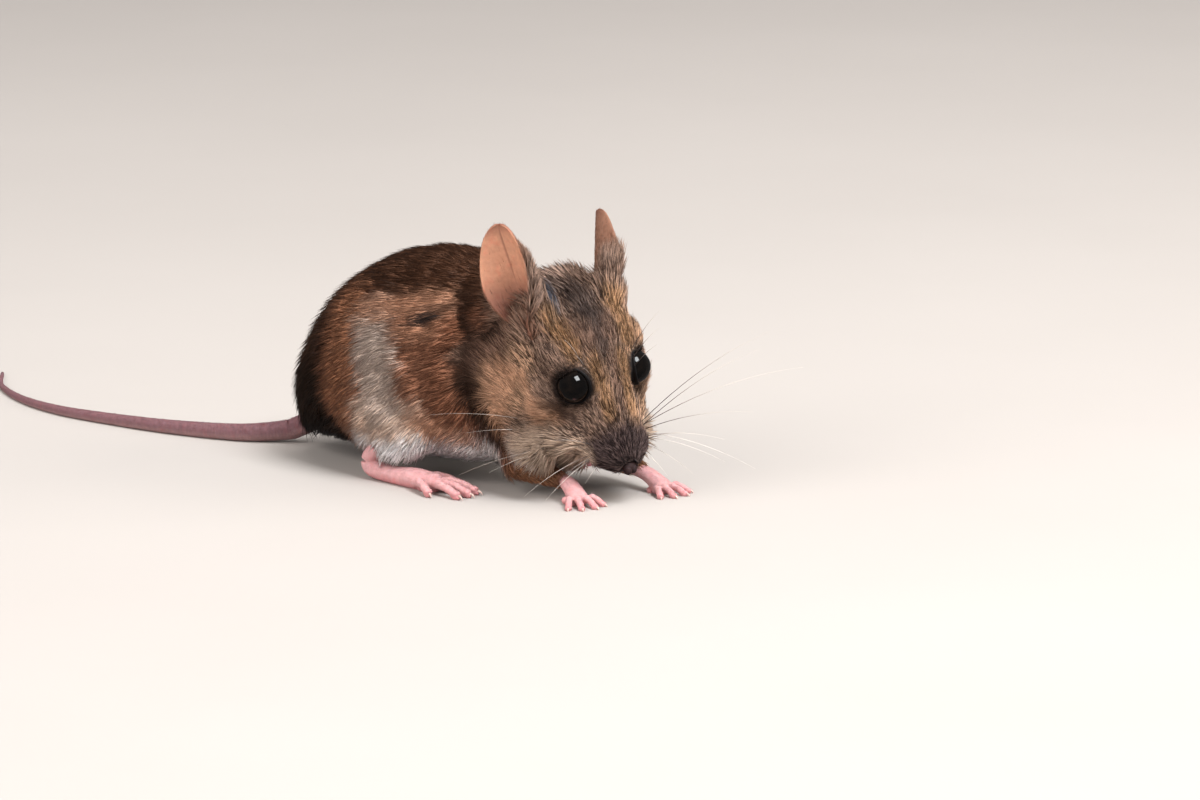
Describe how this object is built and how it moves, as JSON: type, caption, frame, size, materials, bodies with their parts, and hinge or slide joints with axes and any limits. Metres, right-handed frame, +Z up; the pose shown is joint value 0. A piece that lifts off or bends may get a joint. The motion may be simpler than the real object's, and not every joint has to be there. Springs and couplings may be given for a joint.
{
  "type": "field mouse",
  "caption": "Life-size still model of a long-tailed field mouse crouched on all fours, head bent down, ears up, tail laid along the floor.",
  "frame": {"origin": "on the floor, under the middle of the bounding box of the whole animal with its tail", "axes": "+X the way the animal faces (the longest extent, tail to paws), +Y its left, +Z up"},
  "size_m": [0.1502, 0.0362, 0.0446],
  "materials": {
    "fur_brown": "short dense coat, grizzled brown",
    "fur_rust": "short dense coat, orange-brown going to whitish below",
    "fur_dark": "short dense coat, very dark brown",
    "skin_pink": "bare pink skin with sparse pale hairs",
    "ear_skin": "thin bare skin, salmon inside and brown outside",
    "tail_skin": "fine rings of scales, mauve-pink",
    "nose_skin": "moist dark skin",
    "eye_black": "wet gloss black"
  },
  "bodies": {
    "root": {"head": "fur_brown", "neck": "fur_brown", "trunk": "fur_brown", "chest": "fur_brown", "thigh_left": "fur_rust", "thigh_right": "fur_rust", "shank_left": "fur_rust", "shank_right": "fur_rust", "forearm_left": "fur_rust", "forearm_right": "fur_rust", "upper_arm_left": "fur_rust", "upper_arm_right": "fur_rust", "muzzle": "fur_dark", "rump": "fur_dark", "hind_foot_left": "skin_pink", "hind_foot_right": "skin_pink", "fore_paw_left": "skin_pink", "fore_paw_right": "skin_pink", "ear_left": "ear_skin", "ear_right": "ear_skin", "tail_base": "tail_skin", "tail_middle": "tail_skin", "tail_end": "tail_skin", "tail_tip": "tail_skin", "nose": "nose_skin", "eye_left": "eye_black", "eye_right": "eye_black"}
  },
  "joints": []
}
